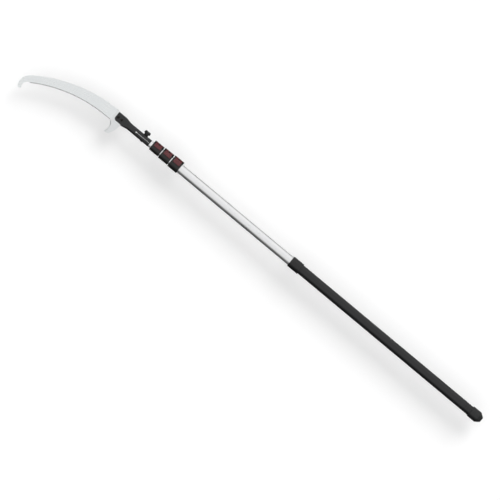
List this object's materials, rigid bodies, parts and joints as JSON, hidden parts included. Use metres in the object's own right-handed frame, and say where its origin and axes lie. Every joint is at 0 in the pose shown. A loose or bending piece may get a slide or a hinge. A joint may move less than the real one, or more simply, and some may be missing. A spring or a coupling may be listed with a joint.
{
  "type": "telescoping pole saw",
  "caption": "Telescoping pole saw with a curved hook-nosed blade, a sickle at its foot, nested oval tubes, lever clamp collars and a long rubber grip.",
  "frame": {"origin": "middle of the end cap's flat butt face, on the pole's axis", "axes": "+X along the pole towards the blade, +Y the toothed side of the blade, +Z square to the blade, up as the saw lies on a bench"},
  "size_m": [2.5059, 0.2157, 0.0468],
  "materials": {
    "tube_aluminium": "satin clear anodised",
    "cap_rubber": "moulded matt",
    "grip_rubber": "shrunk sleeve, fine matt",
    "ring_plastic": "moulded satin",
    "collar_nylon": "moulded satin",
    "bush_nylon": "natural nylon",
    "lever_plastic": "moulded satin",
    "pin_steel": "black zinc plated",
    "rivet_steel": "black",
    "holder_paint": "satin black powder coat",
    "black_fastener": "black oxide",
    "brass": "turned",
    "knob_plastic": "moulded satin",
    "blade_steel": "plated and ground",
    "sickle_steel": "plated"
  },
  "bodies": {
    "outer_pole": {"outer_tube": "tube_aluminium", "end_cap": "cap_rubber", "end_plug": "ring_plastic", "grip_sleeve": "grip_rubber", "grip_ring": "ring_plastic", "lower_collar": "collar_nylon", "lower_collar_liner": "bush_nylon", "lower_collar_rivets": "rivet_steel", "lower_lever_pin": "pin_steel", "lower_eye_bolt": "pin_steel", "lower_clamp_nut": "pin_steel"},
    "third_pole": {"third_tube": "tube_aluminium", "third_tube_bushes": "bush_nylon", "middle_collar": "collar_nylon", "middle_collar_liner": "bush_nylon", "middle_collar_rivets": "rivet_steel", "middle_lever_pin": "pin_steel", "middle_eye_bolt": "pin_steel", "middle_clamp_nut": "pin_steel"},
    "second_pole": {"second_tube": "tube_aluminium", "second_tube_bushes": "bush_nylon", "upper_collar": "collar_nylon", "upper_collar_liner": "bush_nylon", "upper_collar_rivets": "rivet_steel", "upper_lever_pin": "pin_steel", "upper_eye_bolt": "pin_steel", "upper_clamp_nut": "pin_steel"},
    "top_pole": {"top_tube": "tube_aluminium", "top_tube_bushes": "bush_nylon", "top_tube_core": "bush_nylon", "blade_holder": "holder_paint", "clamp_bolt": "black_fastener", "knob_saddle": "black_fastener", "blade": "blade_steel", "sickle": "sickle_steel", "blade_bolts": "black_fastener", "blade_washers": "black_fastener", "blade_nuts": "black_fastener"},
    "knob_washer": {"knob_washer": "black_fastener"},
    "thumb_knob": {"thumb_knob": "knob_plastic", "knob_insert": "brass"},
    "lower_lever": {"lower_lever": "lever_plastic"},
    "middle_lever": {"middle_lever": "lever_plastic"},
    "upper_lever": {"upper_lever": "lever_plastic"}
  },
  "joints": [
    {"name": "third_pole_slide", "type": "slide", "parent": "outer_pole", "child": "third_pole", "axis": [1, 0, 0], "range_m": [0, 1.265]},
    {"name": "second_pole_slide", "type": "slide", "parent": "third_pole", "child": "second_pole", "axis": [1, 0, 0], "range_m": [0, 1.265]},
    {"name": "top_pole_slide", "type": "slide", "parent": "second_pole", "child": "top_pole", "axis": [1, 0, 0], "range_m": [0, 1.265]},
    {"name": "upper_lever_hinge", "type": "hinge", "parent": "second_pole", "child": "upper_lever", "pos_m": [1.853, -0.0242, 0.009], "axis": [1, 0, 0], "range_deg": [0, 110]},
    {"name": "middle_lever_hinge", "type": "hinge", "parent": "third_pole", "child": "middle_lever", "pos_m": [1.799, -0.0264, 0.009], "axis": [1, 0, 0], "range_deg": [0, 110]},
    {"name": "lower_lever_hinge", "type": "hinge", "parent": "outer_pole", "child": "lower_lever", "pos_m": [1.745, -0.0286, 0.009], "axis": [1, 0, 0], "range_deg": [0, 110]},
    {"name": "knob_washer_slide", "type": "slide", "parent": "top_pole", "child": "knob_washer", "axis": [0, -1, 0], "range_m": [0, 0.005]},
    {"name": "thumb_knob_turn", "type": "hinge", "parent": "knob_washer", "child": "thumb_knob", "pos_m": [1.927, -0.0192, 0], "axis": [0, -1, 0], "range_deg": [0, 1440.1]}
  ],
  "couplings": [
    {"joint": "thumb_knob_turn", "follows": "knob_washer_slide", "rad_per_m": 5026.5}
  ]
}
